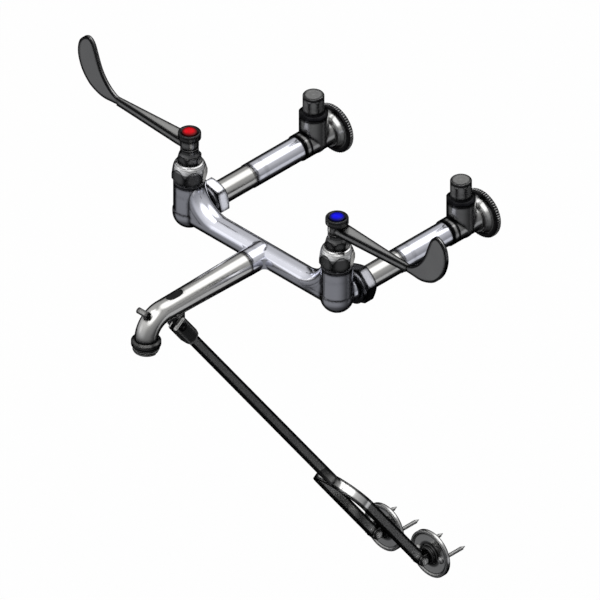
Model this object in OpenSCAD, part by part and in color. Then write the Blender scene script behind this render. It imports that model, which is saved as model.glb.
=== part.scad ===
// Wall-mounted service-sink faucet with wrist-blade handles, built-in stops and a wall brace.
// Millimetres. X runs from hot to cold, Y towards the wall, Z up.
// The origin lies in the wall plane, midway between the two supply axes.

/* [Layout] */
// Distance between the hot and cold supply axes
supply_centres = 203.2; // [170:0.1:260]
// Distance from the wall to the two valve axes
valve_reach = 200.5; // [190:0.5:260]
// Distance from the wall to the outlet axis
outlet_reach = 361.8; // [345:0.1:420]
// Distance of the brace flanges below the supply axes
brace_drop = 441.6; // [400:0.1:520]
// Distance between the two brace flanges
brace_centres = 63.4; // [58:0.1:90]

/* [Body casting] */
// Radius of the cross bar
bar_r = 12; // [11:0.1:13]
// Radius of the waterway inside the cross bar
waterway_r = 7.5; // [5:0.1:8.5]
// Radius of the round valve chambers
chamber_r = 16; // [15.6:0.1:18]
// Height of the valve chambers above the supply axes
chamber_top = 36; // [34:0.5:40]
// Radius of the bulb under each valve chamber
bulb_r = 16.8; // [16.5:0.1:19]
// Height over which the bulb stays wide before it necks in to the chamber
bulb_h = 3.6; // [2:0.1:6]
// Height of the sloping step between the bulb and the chamber
bulb_step_h = 1.6; // [0.5:0.1:3]
// Bend radius of the bar where it sweeps up into a chamber
shoulder_bend = 42; // [38:0.5:50]
// Radius of the boss that takes the spout
boss_r = 13.3; // [12.9:0.1:16]
// Distance from the bar axis to the face of the spout boss
boss_reach = 26.5; // [24:0.5:34]
// Radius of the fillets beside the boss
boss_fillet_r = 8; // [3:0.5:12]
// Radius of the two inlet necks
neck_r = 13; // [12.8:0.1:15]
// Distance from a valve axis to the seating face of its inlet collar
inlet_reach = 23.5; // [22:0.5:30]
// Radius of the inlet collars
collar_r = 17.5; // [17:0.1:19]
// Thickness of the inlet collars
collar_t = 4; // [3:0.1:5]
// Radius of the bore through the supply side
supply_bore_r = 8.5; // [7:0.1:9]

/* [Valve inserts] */
// Width across the flats of the domed bonnets
bonnet_flats = 31.6; // [30.6:0.1:34]
// Height of a bonnet above its gasket
bonnet_h = 23; // [21:0.1:25]
// Radius of a bonnet's flat top
bonnet_top_r = 12; // [11.8:0.1:14]
// Width across the flats of the gland nuts
gland_flats = 21; // [20.2:0.1:22.6]
// Height of a gland nut above the bonnet
gland_h = 16.4; // [14:0.1:18]
// Radius of the valve stems in the gland
stem_r = 6; // [5.5:0.05:6.4]
// Length of stem that shows between the gland nut and the handle
stem_show = 0.6; // [0.4:0.1:6]

/* [Handles] */
// Radius of a handle's hub
hub_r = 9.3; // [8.9:0.1:10]
// Radius of the ring round the hub's top
hub_ring_r = 11.5; // [10.8:0.1:12]
// Height of a hub
hub_h = 17.4; // [15:0.1:20]
// Height of the ring at the hub's top
hub_ring_h = 7; // [5:0.1:8]
// Radius of the index buttons
index_r = 7.3; // [6.5:0.05:8]
// Thickness of the lever arm
lever_t = 7; // [5:0.1:8]
// Width of the lever arm at the hub
lever_root_w = 17; // [13:0.5:18]
// Width of the lever arm where the blade begins
lever_neck_w = 6.8; // [6.7:0.1:9]
// Reach of a handle from its axis to the blade's outer edge
blade_reach = 152; // [130:1:170]
// Height of the blade above the underside of the arm
blade_rise = 60; // [45:1:75]
// Thickness of the blade
blade_t = 3.8; // [3:0.1:5]

/* [Supply arms] */
// Width across the flats of the coupling nuts
nut_flats = 35; // [34:0.1:38]
// Length of the coupling nuts
nut_len = 14; // [13:0.1:18]
// Radius of the supply tubes
tube_r = 12.2; // [11.8:0.05:12.6]
// Radius of the arm sleeves
sleeve_r = 12.75; // [12.4:0.05:13.4]
// Length of the arm sleeves
sleeve_len = 66.8; // [50:0.1:75]

/* [Stops] */
// Length of a stop body from the wall to its joint with the sleeve
stop_len = 51.7; // [50:0.1:60]
// Distance from the wall to the stop's upright axis
stop_axis = 29.7; // [28.5:0.1:33]
// Radius of a stop body's level part
stop_r = 13.8; // [13.5:0.1:15]
// Radius of a stop body's upright barrel
barrel_r = 14.4; // [14:0.1:15.5]
// Height of the barrel above the supply axis
barrel_top = 30; // [28:0.5:34]
// Height of the cone on the stop bonnet
stop_bonnet_h = 5; // [4:0.1:8]
// Width across the flats of the stop caps
cap_flats = 21.4; // [21:0.1:23]
// Height of the stop caps
cap_h = 18.4; // [15:0.1:21]
// Lift of the stop spindles
stop_lift = 4; // [3:0.1:4.4]
// Radius of the threaded inlet at the wall
inlet_thread_r = 9.13; // [8.9:0.01:9.4]
// Depth of the threaded inlet at the wall
inlet_thread_len = 16; // [13:0.1:17]

/* [Wall flanges] */
// Radius of the wall flanges
flange_r = 25.4; // [24:0.1:32]
// Thickness of the knurled rim
flange_rim_t = 5.6; // [4:0.1:7]
// Height of the flange from the wall to its neck
flange_h = 12.5; // [11:0.1:14]
// Wall thickness of the flange
flange_wall = 1.8; // [1.2:0.1:2.4]

/* [Spout] */
// Radius of the spout at the boss
spout_root_r = 13.2; // [12.8:0.05:13.8]
// Radius of the spout where its taper ends
spout_r = 12; // [11.8:0.05:12.6]
// Length of the taper
taper_len = 73; // [50:1:85]
// Bend radius of the spout
spout_bend = 22; // [20:0.5:26]
// Radius of the spout in the bend
spout_tip_r = 11.6; // [11.3:0.05:12.2]
// Radius of the waterway in the spout
spout_bore_r = 8.5; // [6:0.1:8.6]
// Radius of the collar at the spout's mouth
mouth_ring_r = 14.9; // [13.8:0.1:16]
// Height of the collar at the spout's mouth
mouth_ring_h = 6; // [4:0.1:8]
// Radius of the hose thread at the outlet
hose_thread_r = 13.46; // [13:0.01:13.7]
// Length of the hose thread at the outlet
hose_thread_len = 7; // [6:0.1:10]
// Length of the pail hook's cross bar
hook_len = 14; // [12:0.5:20]
// Radius of the pail hook's cross bar
hook_r = 3.2; // [2.2:0.1:3.6]
// Clear gap between the pail hook's bar and the spout
hook_gap = 4.9; // [3:0.1:7]

/* [Brace] */
// Distance from the outlet axis back to the brace's upper pivot
pivot_inset = 44.8; // [40:0.1:60]
// Distance of the upper pivot below the spout axis
pivot_drop = 27; // [25:0.5:32]
// Thickness of the lug under the spout
lug_t = 4.4; // [3:0.1:6]
// Width of the brace clevis
clevis_w = 17; // [15:0.1:19]
// Length of the brace clevis below the pivot
clevis_len = 31; // [29:0.5:45]
// Thickness of each clevis ear
ear_t = 3; // [2.4:0.1:4]
// Width of the brace bar
brace_w = 10.8; // [9:0.1:12]
// Thickness of the brace bar and of the yoke strap
brace_t = 5; // [4:0.1:6]
// Length of the yoke's legs, from the cross strap to the hinges
yoke_len = 149.6; // [120:0.1:210]
// Radius of the upper pivot bolt
pivot_bolt_r = 3; // [2.5:0.05:3.5]

/* [Brace flanges] */
// Radius of the brace flanges
foot_r = 25.4; // [23:0.1:28]
// Thickness of the brace flanges
foot_t = 4.5; // [4:0.1:7]
// Radius of the boss on a brace flange
foot_boss_r = 10; // [9:0.1:11]
// Height of the boss above the flange's face
foot_boss_h = 4; // [2:0.1:5]
// Distance from the wall to the hinge axis
hinge_reach = 15.5; // [15:0.1:20]
// Thickness of the hinge ears
hinge_ear_t = 2.6; // [2:0.1:3.2]
// Radius of the hinge bolts
hinge_bolt_r = 2.5; // [2:0.05:2.8]
// Distance between the two wall screws of a flange
screw_centres = 30.4; // [29:0.1:34]
// Radius of the wall screws
screw_r = 2.1; // [1.8:0.05:2.6]
// Length of a wall screw behind the wall face
screw_reach = 30.5; // [20:0.5:45]

/* [Hidden] */

$fn = 96;
// Overrun of every cut
cut = 1;
// Radial clearance of screwed and sliding joints within one body
fit_gap = 0.1;
// Radial clearance of turning joints
run_gap = 0.06;
// Clearance between flat faces that turn past each other
face_gap = 0.3;
// Turn of a coupling nut's hexagon from having a corner straight up
hex_turn = 15;
// How far a chamfered end lies inside the flats, and how far its turned outline clears the corners
flat_inset = 0.3;
corner_margin = 0.5;

// Sides of the faucet: hot lies at -X, cold at +X
hot = -1;
cold = 1;

// Stations along Y
half_centres = supply_centres / 2;
valve_y = -valve_reach;
inlet_face_y = valve_y + inlet_reach;
nut_rear_y = inlet_face_y + nut_len;
sleeve_start_y = -(stop_len + sleeve_len);
stop_start_y = -stop_len;
stop_y = -stop_axis;
outlet_y = -outlet_reach;

// Screwed union between the body and a supply arm
union_thread_r = 14.6;
union_thread_len = 7.6;
washer_t = 1.8;
tail_flange_t = 2;
tail_flange_r = union_thread_r - 4 * fit_gap;
washer_start_y = inlet_face_y + union_thread_len;
tail_start_y = washer_start_y + washer_t;
tail_end_y = tail_start_y + tail_flange_t;
nut_chamfer = 2.2;

// Screwed joints of the supply arm
arm_thread_r = 10.4;
arm_thread_len = 14;

// Steps that keep the casting's blended shapes from only touching each other
shoulder_step = 0.15;
web_step = 0.4;
boss_fillet_step = 1.6;
way_step = 0.5;
waterway_sweep = 62;
shoulder_x = half_centres - chamber_r + bar_r - shoulder_bend;

// Valve chamber, from the seat upwards
seat_z = 10;
seat_t = 2;
seat_hole_r = 6.5;
cartridge_r = 12;
cartridge_top = 24.6;
cartridge_neck_r = 8.4;
cartridge_neck_top = 42;
cartridge_wall = 2.6;
port_r = 4.5;
bonnet_thread_r = 13;
gasket_t = 1;
gasket_r = 15;
bonnet_lip_w = 1.4;
bonnet_lip_h = 3.2;
bonnet_top_edge = 0.5;
bonnet_z = chamber_top + gasket_t;
bonnet_top = bonnet_z + bonnet_h;
disc_t = 3;
disc_r = cartridge_r - cartridge_wall - fit_gap;
disc_port_r = 3;
disc_port_at = 4.6;
seal_t = 2.4;
fixed_disc_z = seat_z + seal_t;
turning_disc_z = fixed_disc_z + disc_t + run_gap;
tang_w = 4;
tang_h = 1.6;
stem_low_r = 5;
stem_low_z = turning_disc_z + disc_t;
stem_step_z = cartridge_neck_top + face_gap;
packing_r = 8.1;
packing_depth = 10;
packing_z = bonnet_top - packing_depth;
packing_t = 4.2;
// Outlines of the domed hexagons: distance inside the corner and height, as shares of the nut's height
bonnet_edge_shares = [
    [0.03, 0.20], [-0.02, 0.28], [-0.02, 0.42], [0.03, 0.54], [0.065, 0.68], [0.10, 0.79], [0.14, 0.88],
    [0.185, 0.945],
];
gland_edge_shares = [
    [-0.03, 0.07], [-0.03, 0.35], [0.05, 0.43], [0.115, 0.52], [0.155, 0.61], [0.178, 0.70],
];
gland_z = bonnet_top + face_gap;
gland_top = gland_z + gland_h;
gland_top_edge = 0.5;
gland_neck_inset = 0.2;
gland_neck_r = hub_r - gland_neck_inset;
handle_z = gland_top + stem_show;
spline_r = 4.6;
spline_h = 9;

// Handle
hub_chamfer = 0.8;
hub_step_h = 0.8;
hub_ring_round = 1.9;
hub_ring_steps = 6;
hub_dish_w = 0.5;
hub_dish_h = 0.9;
index_recess = 3.4;
index_dome = 1.2;
index_gap = 0.1;
handle_top = handle_z + hub_h;
lever_lift = 1.3;
lever_z = handle_z + lever_lift;
handle_screw_r = 2;
handle_screw_head_r = 3.6;
handle_screw_head_t = 2.2;
handle_screw_len = 10;
handle_screw_tip_gap = 1;
handle_screw_slot_w = 1;
handle_screw_slot_h = 1;
handle_web_t = 1.2;
spline_top = handle_z + spline_h;
screw_seat_z = spline_top + face_gap;
// Blade outline as shares of the blade's reach and rise, from the arm's underside round to its top
blade_edge_shares = [
    [0.50, 0.000], [0.60, 0.000], [0.684, -0.010], [0.757, -0.023], [0.822, 0.008], [0.895, 0.100],
    [0.954, 0.267], [0.987, 0.450], [1.000, 0.633], [0.990, 0.817], [0.961, 0.935], [0.921, 0.995],
    [0.891, 0.985], [0.865, 0.917], [0.845, 0.800], [0.809, 0.550], [0.776, 0.392], [0.730, 0.250],
    [0.678, 0.150],
];
blade_edge_steps = 5;
lever_neck_share = 0.64;
// Lean of the arm's sides, in degrees, and how far their cut runs past the neck
lever_draft = 11;
draft_margin = 0.2;

// Stop
stop_bead_len = 6.7;
stop_groove = 0.6;
stop_groove_w = 1.2;
stop_passage_r = 3.9;
stop_inlet_z = -5;
stop_outlet_z = 6.2;
stop_seat_r = 4.5;
stop_seat_z = 2;
stop_chamber_r = 9.6;
stop_bonnet_thread_r = 10.6;
stop_bonnet_thread_len = 8;
stop_bonnet_foot_r = 15;
stop_bonnet_band_h = 1.6;
stop_bonnet_z = barrel_top;
cap_z = barrel_top + stop_bonnet_h;
cap_thread_r = 8.2;
cap_thread_len = 7;
cap_chamfer = 2;
cap_sides = 8;
cap_turn = 22.5;
// Outline of the cap's rounded top: distance outside the flats and depth below the top, as shares of its height
cap_edge_shares = [[0.075, 0.33], [0.024, 0.23], [0.011, 0.12], [-0.008, 0.05], [-0.033, 0.016]];
cap_wall = 2.2;
cap_top = cap_z + cap_h;
spindle_r = 4;
spindle_top_gap = 1;
spindle_top = cap_top - cap_wall - spindle_top_gap;
stop_washer_r = 7.2;
stop_washer_t = 3;
stop_washer_z = stop_seat_z + stop_lift + run_gap;
stop_washer_hub_r = 4.4;
stop_washer_hub_h = 3.4;
stop_jumper_r = 2;
stop_jumper_h = 4;
spindle_z = stop_washer_z + stop_washer_t + stop_washer_hub_h + run_gap;
spindle_slot_w = 1.6;
spindle_slot_h = 2.4;
seal_ring_r = 1.1;

// Wall flange
flange_fit = 0.15;
flange_hole_r = stop_r + flange_fit;
flange_neck_r = flange_hole_r + flange_wall;
flange_rim_w = 3.6;
flange_face_r = flange_r - flange_rim_w;
flange_rim_groove = 1;

// Spout
spigot_r = 10.6;
spigot_len = 13;
spout_start_y = valve_y - boss_reach;
spout_bend_y = outlet_y + spout_bend;
mouth_lift = 1.2;
mouth_slope_w = 2.6;
mouth_slope_h = 2.2;
mouth_top = mouth_lift - spout_bend;
mouth_bottom = mouth_top - mouth_ring_h;
mouth_thread_r = 10.2;
mouth_thread_len = 8;
outlet_washer_r = 12.6;
outlet_washer_t = 0.8;
hose_top = mouth_bottom - outlet_washer_t;
hose_end = hose_top - hose_thread_len;
hook_angle = 38;
hook_lug_w = 6;
hook_lug_l = 4.6;
mark_len = 21;
mark_w = 9;
mark_depth = 0.9;
mark_inset = 38.8;
mark_y = outlet_y + mark_inset;
lug_r = 6.5;

// Brace, worked out from its two pivots
pivot_y = outlet_y + pivot_inset;
pivot_z = -pivot_drop;
hinge_y = -hinge_reach;
hinge_z = -brace_drop;
brace_len = sqrt(pow(hinge_y - pivot_y, 2) + pow(hinge_z - pivot_z, 2));
yoke_at = brace_len - yoke_len;
brace_angle = atan2(hinge_y - pivot_y, pivot_z - hinge_z);
ear_gap = 0.3;
ear_inner_x = lug_t / 2 + ear_gap;
ear_outer_x = ear_inner_x + ear_t;
clevis_above = 6.5;
clevis_bevel = 1.8;
clevis_corner_r = 3;
clevis_root = 15;
clevis_socket = 12;
bolt_head_r = 4.6;
bolt_head_t = 1.6;
bolt_tail = 6;
nut_af_share = 3.3;
pivot_nut_t = 4.6;
strap_w = 11.4;
strap_corner_r = 28;
yoke_pin_r = 2.4;
leg_x = brace_centres / 2;
leg_inner_x = leg_x - brace_t / 2;
leg_outer_x = leg_x + brace_t / 2;
hinge_ear_x = brace_t / 2 + ear_gap;
hinge_ear_r = 5.6;
hinge_head_r = 4;
hinge_head_t = 1.4;
hinge_nut_t = 3.6;
hinge_tail = 4.6;
foot_edge = 1.2;
foot_rim_w = 2.4;
foot_recess = 1.4;
foot_face_t = foot_t - foot_recess;
screw_head_r = 3.9;
screw_head_t = 2.4;
screw_tip = 4;
screw_neck_r = 2.8;
screw_neck_past = 0.4;

// Colours
casting = [0.74, 0.76, 0.82];
nickel = [0.70, 0.69, 0.67];
dark_chrome = [0.42, 0.42, 0.43];
steel = [0.36, 0.36, 0.37];
rubber = [0.10, 0.10, 0.11];
brass = [0.72, 0.60, 0.34];
ceramic = [0.90, 0.89, 0.86];
red = [0.85, 0.06, 0.10];
blue = [0.08, 0.08, 0.85];

// Round rods along the three axes, given by where they start and end
module rod_x(r, from, to) translate([from, 0, 0]) rotate([0, 90, 0]) cylinder(r = r, h = to - from);
module rod_y(r, from, to) translate([0, to, 0]) rotate([90, 0, 0]) cylinder(r = r, h = to - from);
module rod_z(r, from, to) translate([0, 0, from]) cylinder(r = r, h = to - from);

// Turned shapes: points are [radius, station]
module turned(points) rotate_extrude() polygon(points);
module turned_y(points) rotate([90, 0, 0]) rotate_extrude() polygon([for (p = points) [p[0], -p[1]]]);

// Flat ring along Z
module ring(outer, inner, from, to) difference() {
    rod_z(outer, from, to);
    rod_z(inner, from - cut, to + cut);
}

// Flat-sided bar along Z, given across its flats, and the radius of its corners
module hex_bar(flats, from, to, turn = 0, sides = 6) rotate(turn) translate([0, 0, from])
    cylinder(r = corner(flats, sides), h = to - from, $fn = sides);
function corner(flats, sides = 6) = flats / 2 / cos(180 / sides);

// Bar along Z with a square section that stands on its corner, given by its half diagonal
module edge_bar(half, length) rotate(45) cube([sqrt(2) * half, sqrt(2) * half, length], center = true);

// Round quarter bend: arcs in the XZ plane from straight down to straight out along X
module quarter_bend(bend, r, sweep) rotate([90, 0, 0]) rotate([0, 0, -90])
    rotate_extrude(angle = sweep) translate([bend, 0]) circle(r = r);

// Places a child on a valve axis, on a supply axis and on a stop axis
module at_valve(side) translate([side * half_centres, valve_y, 0]) children();
module at_supply(side) translate([side * half_centres, 0, 0]) children();
module at_stop(side) translate([side * half_centres, stop_y, 0]) children();
module both() for (side = [hot, cold]) children_at(side) children();
module children_at(side) mirror([side < 0 ? 1 : 0, 0, 0]) children();

// A smooth curve through a list of points; the first and last only steer it
function curve_at(a, b, c, d, t) = 0.5 * (2 * b + (c - a) * t + (2 * a - 5 * b + 4 * c - d) * t * t
    + (3 * b - a - 3 * c + d) * t * t * t);
function smooth_curve(p, steps) = [
    for (i = [1 : len(p) - 3]) for (k = [0 : steps - 1])
        curve_at(p[i - 1], p[i], p[i + 1], p[i + 2], k / steps)
];

// Body casting: cross bar, swept shoulders, valve chambers, inlet necks and spout boss
module shoulder() {
    web_y = bar_r - web_step;
    intersection() {
        union() {
            translate([shoulder_x, 0, shoulder_bend]) quarter_bend(shoulder_bend, bar_r - shoulder_step, 90);
            translate([shoulder_x, web_y, 0]) rotate([90, 0, 0]) linear_extrude(2 * web_y) difference() {
                square(shoulder_bend);
                translate([0, shoulder_bend]) circle(r = shoulder_bend);
            }
        }
        translate([0, -chamber_r, -bar_r]) cube([half_centres, 2 * chamber_r, bar_r + chamber_top]);
    }
}

module shoulder_waterway() translate([shoulder_x, 0, shoulder_bend])
    quarter_bend(shoulder_bend, waterway_r, waterway_sweep);

module valve_chamber() {
    sphere(r = bulb_r);
    rod_z(bulb_r, 0, bulb_h);
    translate([0, 0, bulb_h]) cylinder(r1 = bulb_r, r2 = chamber_r, h = bulb_step_h);
    rod_z(chamber_r, 0, chamber_top);
}

module chamber_bores() {
    rod_z(bonnet_thread_r + fit_gap, cartridge_top, chamber_top + cut);
    rod_z(cartridge_r + fit_gap, seat_z, chamber_top + cut);
    rod_z(seat_hole_r, 0, seat_z + cut);
    rod_z(supply_bore_r - way_step, -supply_bore_r + way_step, seat_z - seat_t);
}

module inlet_neck() {
    rod_y(neck_r, 0, inlet_reach - cut);
    rod_y(collar_r, inlet_reach - collar_t, inlet_reach);
    rod_y(union_thread_r, inlet_reach - cut, inlet_reach + union_thread_len);
}

module boss_fillet() {
    arc_x = boss_r - boss_fillet_step + boss_fillet_r;
    arc_y = bar_r - boss_fillet_step + boss_fillet_r;
    translate([0, 0, -bar_r / 2]) linear_extrude(bar_r) difference() {
        translate([0, -arc_y]) square([arc_x, arc_y]);
        translate([arc_x, -arc_y]) circle(r = boss_fillet_r);
    }
}

module valve_body() color(casting) translate([0, valve_y, 0]) difference() {
    union() {
        rod_x(bar_r, -half_centres, half_centres);
        rod_y(boss_r, -boss_reach, 0);
        both() {
            shoulder();
            boss_fillet();
            translate([half_centres, 0, 0]) {
                valve_chamber();
                inlet_neck();
            }
        }
    }
    both() {
        shoulder_waterway();
        translate([half_centres, 0, 0]) {
            chamber_bores();
            rod_y(supply_bore_r, 0, inlet_reach + union_thread_len + cut);
        }
    }
    rod_x(waterway_r, -shoulder_x, shoulder_x);
    rod_y(waterway_r - way_step, -boss_reach - cut, 0);
    rod_y(spigot_r + fit_gap, -boss_reach - cut, -boss_reach + spigot_len + fit_gap);
}

// Spout: tapered tube, bend, mouth collar, pail hook and brace lug
module spout_tube() {
    rod_y(spigot_r, spout_start_y, spout_start_y + spigot_len);
    turned_y([
        [0, spout_start_y], [spout_root_r, spout_start_y],
        [spout_r, spout_start_y - taper_len], [spout_tip_r, spout_bend_y], [0, spout_bend_y],
    ]);
    translate([0, spout_bend_y, -spout_bend]) rotate([0, 0, -90]) rotate([90, 0, 0])
        rotate_extrude(angle = 90) translate([spout_bend, 0]) circle(r = spout_tip_r);
    translate([0, outlet_y, 0]) {
        rod_z(spout_tip_r, mouth_bottom, -spout_bend);
        turned([
            [0, mouth_bottom], [mouth_ring_r, mouth_bottom], [mouth_ring_r, mouth_top - mouth_slope_h],
            [mouth_ring_r - mouth_slope_w, mouth_top], [0, mouth_top],
        ]);
    }
}

module spout_bore() {
    rod_y(spout_bore_r, spout_bend_y, spout_start_y + spigot_len + cut);
    translate([0, spout_bend_y, -spout_bend]) rotate([0, 0, -90]) rotate([90, 0, 0])
        rotate_extrude(angle = 90) translate([spout_bend, 0]) circle(r = spout_bore_r);
    translate([0, outlet_y, 0]) {
        rod_z(spout_bore_r, mouth_bottom - cut, -spout_bend);
        rod_z(mouth_thread_r + fit_gap, mouth_bottom - cut, mouth_bottom + mouth_thread_len);
    }
}

module pail_hook() translate([0, spout_bend_y, -spout_bend]) rotate([hook_angle, 0, 0]) {
    bar_z = spout_bend + spout_tip_r + hook_gap + hook_r;
    translate([0, 0, bar_z]) rod_x(hook_r, -hook_len / 2, hook_len / 2);
    translate([-hook_lug_w / 2, -hook_lug_l / 2, spout_bend + spout_bore_r + cut])
        cube([hook_lug_w, hook_lug_l, spout_tip_r - spout_bore_r - cut + hook_gap + hook_r]);
}

module brace_lug() {
    lug_h = pivot_drop - spout_bore_r - cut;
    translate([-lug_t / 2, pivot_y, pivot_z]) rotate([0, 90, 0]) cylinder(r = lug_r, h = lug_t);
    translate([-lug_t / 2, pivot_y - lug_r, pivot_z]) cube([lug_t, 2 * lug_r, lug_h]);
}

module name_recess() translate([0, mark_y, spout_r - mark_depth]) linear_extrude(mark_depth + cut) {
    half = (mark_len - mark_w) / 2;
    square([mark_w, 2 * half], center = true);
    for (y = [-half, half]) translate([0, y]) circle(r = mark_w / 2);
}

module spout() color(nickel) difference() {
    union() {
        spout_tube();
        pail_hook();
        brace_lug();
    }
    spout_bore();
    name_recess();
    translate([0, pivot_y, pivot_z]) rod_x(pivot_bolt_r + run_gap, -lug_t, lug_t);
}

module outlet_washer() color(rubber) translate([0, outlet_y, 0])
    ring(outlet_washer_r, mouth_thread_r + fit_gap, hose_top, mouth_bottom);

module hose_outlet() color(nickel) translate([0, outlet_y, 0]) difference() {
    union() {
        rod_z(hose_thread_r, hose_end, hose_top);
        rod_z(mouth_thread_r, hose_top - cut, mouth_bottom + mouth_thread_len - fit_gap);
    }
    rod_z(spout_bore_r, hose_end - cut, mouth_bottom + mouth_thread_len);
}

// Valve insert: domed hexagonal bonnet, gland nut, packing, cartridge and discs
module bonnet_shape() {
    corner_r = corner(bonnet_flats);
    intersection() {
        hex_bar(bonnet_flats, bonnet_z, bonnet_top);
        turned([
            [0, bonnet_z], [gasket_r - fit_gap, bonnet_z],
            [gasket_r + bonnet_lip_w, bonnet_z + bonnet_lip_h],
            for (p = bonnet_edge_shares) [corner_r - p[0] * bonnet_h, bonnet_z + p[1] * bonnet_h],
            [bonnet_top_r + bonnet_top_edge, bonnet_top - bonnet_top_edge], [bonnet_top_r, bonnet_top],
            [0, bonnet_top],
        ]);
    }
}

module bonnet(side) color(dark_chrome) at_valve(side) difference() {
    union() {
        bonnet_shape();
        rod_z(bonnet_thread_r, cartridge_top + fit_gap, bonnet_z + cut);
    }
    rod_z(cartridge_neck_r + fit_gap, cartridge_top - cut, cartridge_neck_top + fit_gap);
    rod_z(stem_r + run_gap, cartridge_neck_top, bonnet_top + cut);
    rod_z(packing_r + fit_gap, packing_z, bonnet_top + cut);
}

module bonnet_gaskets() color(rubber) for (side = [hot, cold]) at_valve(side)
    ring(gasket_r, bonnet_thread_r + fit_gap, chamber_top, bonnet_z);

module packing_rings() color(rubber) for (side = [hot, cold]) at_valve(side)
    ring(packing_r, stem_r + run_gap, packing_z, packing_z + packing_t);

module gland_nut(side) color(dark_chrome) at_valve(side) difference() {
    corner_r = corner(gland_flats);
    union() {
        rod_z(packing_r, packing_z + packing_t + fit_gap, gland_z + cut);
        intersection() {
            hex_bar(gland_flats, gland_z, gland_top);
            turned([
                [0, gland_z], [gland_flats / 2 - flat_inset, gland_z],
                for (p = gland_edge_shares) [corner_r - p[0] * gland_h, gland_z + p[1] * gland_h],
                [gland_neck_r, gland_top - gland_top_edge], [gland_neck_r - gland_top_edge, gland_top],
                [0, gland_top],
            ]);
        }
    }
    rod_z(stem_r + run_gap, packing_z, gland_top + cut);
}

module cartridge(side) color(brass) at_valve(side) difference() {
    union() {
        rod_z(cartridge_r, seat_z, cartridge_top);
        rod_z(cartridge_neck_r, seat_z, cartridge_neck_top);
    }
    rod_z(disc_r + fit_gap, seat_z - cut, turning_disc_z + disc_t + face_gap);
    rod_z(stem_low_r + run_gap, seat_z, cartridge_neck_top + cut);
    for (turn = [0, 180]) rotate(turn) translate([0, 0, turning_disc_z + disc_t])
        rod_x(port_r, disc_r, cartridge_r + cut);
}

module seat_seals() color(rubber) for (side = [hot, cold]) at_valve(side)
    ring(disc_r, seat_hole_r, seat_z, fixed_disc_z);

module disc_blank(from) difference() {
    rod_z(disc_r, from, from + disc_t);
    for (turn = [0, 180]) rotate(turn) translate([disc_port_at, 0, 0])
        rod_z(disc_port_r, from - cut, from + disc_t + cut);
}

module fixed_discs() color(ceramic) for (side = [hot, cold]) at_valve(side) disc_blank(fixed_disc_z);

module turning_disc(side) color(ceramic) at_valve(side) difference() {
    rotate(90) disc_blank(turning_disc_z);
    tang_slot(fit_gap);
}

module tang_slot(gap) translate([-disc_r, -tang_w / 2 - gap, stem_low_z - tang_h - gap])
    cube([2 * disc_r, tang_w + 2 * gap, tang_h + gap + cut]);

module stem(side) color(brass) at_valve(side) difference() {
    union() {
        rod_z(stem_low_r, stem_low_z, stem_step_z + cut);
        rod_z(stem_r, stem_step_z, handle_z);
        rod_z(spline_r, handle_z - cut, spline_top);
        intersection() {
            translate([-stem_low_r, -tang_w / 2, stem_low_z - tang_h])
                cube([2 * stem_low_r, tang_w, tang_h + cut]);
            rod_z(stem_low_r, stem_low_z - tang_h, stem_low_z + cut);
        }
    }
    rod_z(handle_screw_r, spline_top - handle_screw_len, spline_top + cut);
}

// Wrist-blade handle: the plan outline and the side outline of the lever cut each other
module lever_plan() {
    neck_at = lever_neck_share * blade_reach;
    polygon([
        [0, -lever_root_w / 2], [hub_r, -lever_root_w / 2], [neck_at, -lever_neck_w / 2],
        [neck_at, -blade_t / 2], [blade_reach + cut, -blade_t / 2],
        [blade_reach + cut, blade_t / 2], [neck_at, blade_t / 2],
        [neck_at, lever_neck_w / 2], [hub_r, lever_root_w / 2], [0, lever_root_w / 2],
    ]);
}

module lever_side() {
    edge = [for (p = blade_edge_shares) [p[0] * blade_reach, p[1] * blade_rise]];
    neck_at = lever_neck_share * blade_reach;
    root_at = neck_at - lever_t;
    polygon(concat(
        [[0, 0]],
        smooth_curve(concat(edge, [[neck_at, lever_t], [root_at, lever_t]]), blade_edge_steps),
        [[neck_at, lever_t], [0, lever_t]]
    ));
}

// Cutting block that leans over one side of the arm
module lever_side_cut() {
    run = lever_neck_share * blade_reach - hub_r;
    narrowing = (lever_root_w - lever_neck_w) / 2;
    side_len = sqrt(run * run + narrowing * narrowing);
    translate([hub_r, lever_root_w / 2, lever_z]) rotate([0, 0, -atan2(narrowing, run)])
        rotate([lever_draft, 0, 0]) translate([-2 * hub_r, 0, -lever_t])
            cube([2 * hub_r + side_len + draft_margin, lever_root_w, 3 * lever_t]);
}

module lever() difference() {
    intersection() {
        translate([0, 0, lever_z - blade_rise]) linear_extrude(3 * blade_rise) lever_plan();
        translate([0, lever_root_w, lever_z]) rotate([90, 0, 0]) linear_extrude(2 * lever_root_w) lever_side();
    }
    lever_side_cut();
    mirror([0, 1, 0]) lever_side_cut();
}

module hub() {
    ring_z = handle_top - hub_ring_h;
    dish_z = handle_top - hub_dish_h;
    turned([
        [0, handle_z], [hub_r - hub_chamfer, handle_z], [hub_r, handle_z + hub_chamfer],
        [hub_r, ring_z - hub_step_h], [hub_ring_r, ring_z],
        for (a = [0 : 90 / hub_ring_steps : 90])
            [hub_ring_r - hub_ring_round * (1 - cos(a)), handle_top - hub_ring_round * (1 - sin(a))],
        [index_r + hub_dish_w, dish_z], [0, dish_z],
    ]);
}

module handle(side) color(dark_chrome) at_valve(side) children_at(side) difference() {
    union() {
        hub();
        lever();
    }
    rod_z(spline_r + fit_gap, handle_z - cut, screw_seat_z);
    rod_z(handle_screw_r + 2 * fit_gap, handle_z, handle_top);
    rod_z(handle_screw_head_r + 2 * fit_gap, screw_seat_z + handle_web_t, handle_top);
    rod_z(index_r + index_gap, handle_top - index_recess, handle_top + cut);
}

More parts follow.
